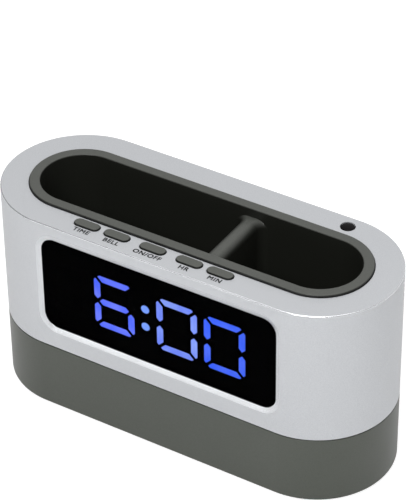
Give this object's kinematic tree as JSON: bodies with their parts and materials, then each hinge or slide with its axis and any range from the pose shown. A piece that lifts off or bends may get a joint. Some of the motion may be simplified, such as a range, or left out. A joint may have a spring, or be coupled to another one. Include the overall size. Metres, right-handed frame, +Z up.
{
  "type": "pen holder clock",
  "caption": "Desk clock with rounded ends, a divided pen cup sunk in its top, a lit segment display in front, top buttons and a battery bay underneath.",
  "frame": {"origin": "middle of the footprint, on the surface that the feet rest on", "axes": "+Z up, front with the display towards -Y, +X to the right seen from the front"},
  "size_m": [0.175, 0.066, 0.0931],
  "materials": {
    "silver_shell": "satin silver paint on moulded ABS",
    "dark_shell": "fine matt texture, moulded ABS",
    "smoked_lens": "glossy smoked acrylic",
    "black_face": "matt black",
    "lit_segment": "translucent diffuser, lit",
    "dark_segment": "translucent diffuser, unlit",
    "white_plastic": "moulded white",
    "circuit_board": "solder resist",
    "black_plastic": "moulded",
    "spring_steel": "nickel plated",
    "cell_jacket": "plain wrapped cell",
    "foot_rubber": "moulded",
    "ribbon": "flat cable",
    "lead_red": "insulated wire",
    "lead_black": "insulated wire"
  },
  "bodies": {
    "case": {"upper_shell": "silver_shell", "base_shell": "dark_shell", "pen_cup": "dark_shell", "case_screw_1": "spring_steel", "case_screw_2": "spring_steel", "case_screw_3": "spring_steel", "case_screw_4": "spring_steel", "foot_1": "foot_rubber", "foot_2": "foot_rubber", "foot_3": "foot_rubber", "foot_4": "foot_rubber", "window_lens": "smoked_lens", "display_face": "black_face", "digit_1": "dark_segment", "digit_2": "lit_segment", "digit_3": "lit_segment", "digit_4": "lit_segment", "colon_dots": "lit_segment", "display_housing": "white_plastic", "led_board": "circuit_board", "display_screw_1": "spring_steel", "display_screw_2": "spring_steel", "switch_1": "black_plastic", "switch_2": "black_plastic", "switch_3": "black_plastic", "switch_4": "black_plastic", "switch_5": "black_plastic", "button_board": "circuit_board", "button_screw_1": "spring_steel", "button_screw_2": "spring_steel", "sensor_lens": "smoked_lens", "light_sensor": "white_plastic", "sensor_board": "circuit_board", "main_board": "circuit_board", "clock_chip": "black_plastic", "buzzer": "black_plastic", "power_inlet": "spring_steel", "main_screw_1": "spring_steel", "main_screw_2": "spring_steel", "display_ribbon": "ribbon", "button_ribbon": "ribbon", "sensor_ribbon": "ribbon", "battery_1": "cell_jacket", "battery_2": "cell_jacket", "battery_3": "cell_jacket", "contact_1": "spring_steel", "contact_2": "spring_steel", "contact_3": "spring_steel", "contact_4": "spring_steel", "battery_lead_plus": "lead_red", "battery_lead_minus": "lead_black"},
    "time_key": {"time_button": "dark_shell"},
    "alarm_key": {"alarm_button": "dark_shell"},
    "snooze_key": {"snooze_button": "dark_shell"},
    "hour_key": {"hour_button": "dark_shell"},
    "minute_key": {"minute_button": "dark_shell"},
    "door": {"battery_door": "dark_shell"}
  },
  "joints": [
    {"name": "time_press", "type": "slide", "parent": "case", "child": "time_key", "axis": [0, 0, -1], "range_m": [0, 0.0005], "stiffness_N_per_m": 800},
    {"name": "alarm_press", "type": "slide", "parent": "case", "child": "alarm_key", "axis": [0, 0, -1], "range_m": [0, 0.0005], "stiffness_N_per_m": 800},
    {"name": "snooze_press", "type": "slide", "parent": "case", "child": "snooze_key", "axis": [0, 0, -1], "range_m": [0, 0.0005], "stiffness_N_per_m": 800},
    {"name": "hour_press", "type": "slide", "parent": "case", "child": "hour_key", "axis": [0, 0, -1], "range_m": [0, 0.0005], "stiffness_N_per_m": 800},
    {"name": "minute_press", "type": "slide", "parent": "case", "child": "minute_key", "axis": [0, 0, -1], "range_m": [0, 0.0005], "stiffness_N_per_m": 800},
    {"name": "door_hinge", "type": "hinge", "parent": "case", "child": "door", "pos_m": [-0.02685, 0, 0.0008], "axis": [0, 1, 0], "range_deg": [0, 90]}
  ]
}
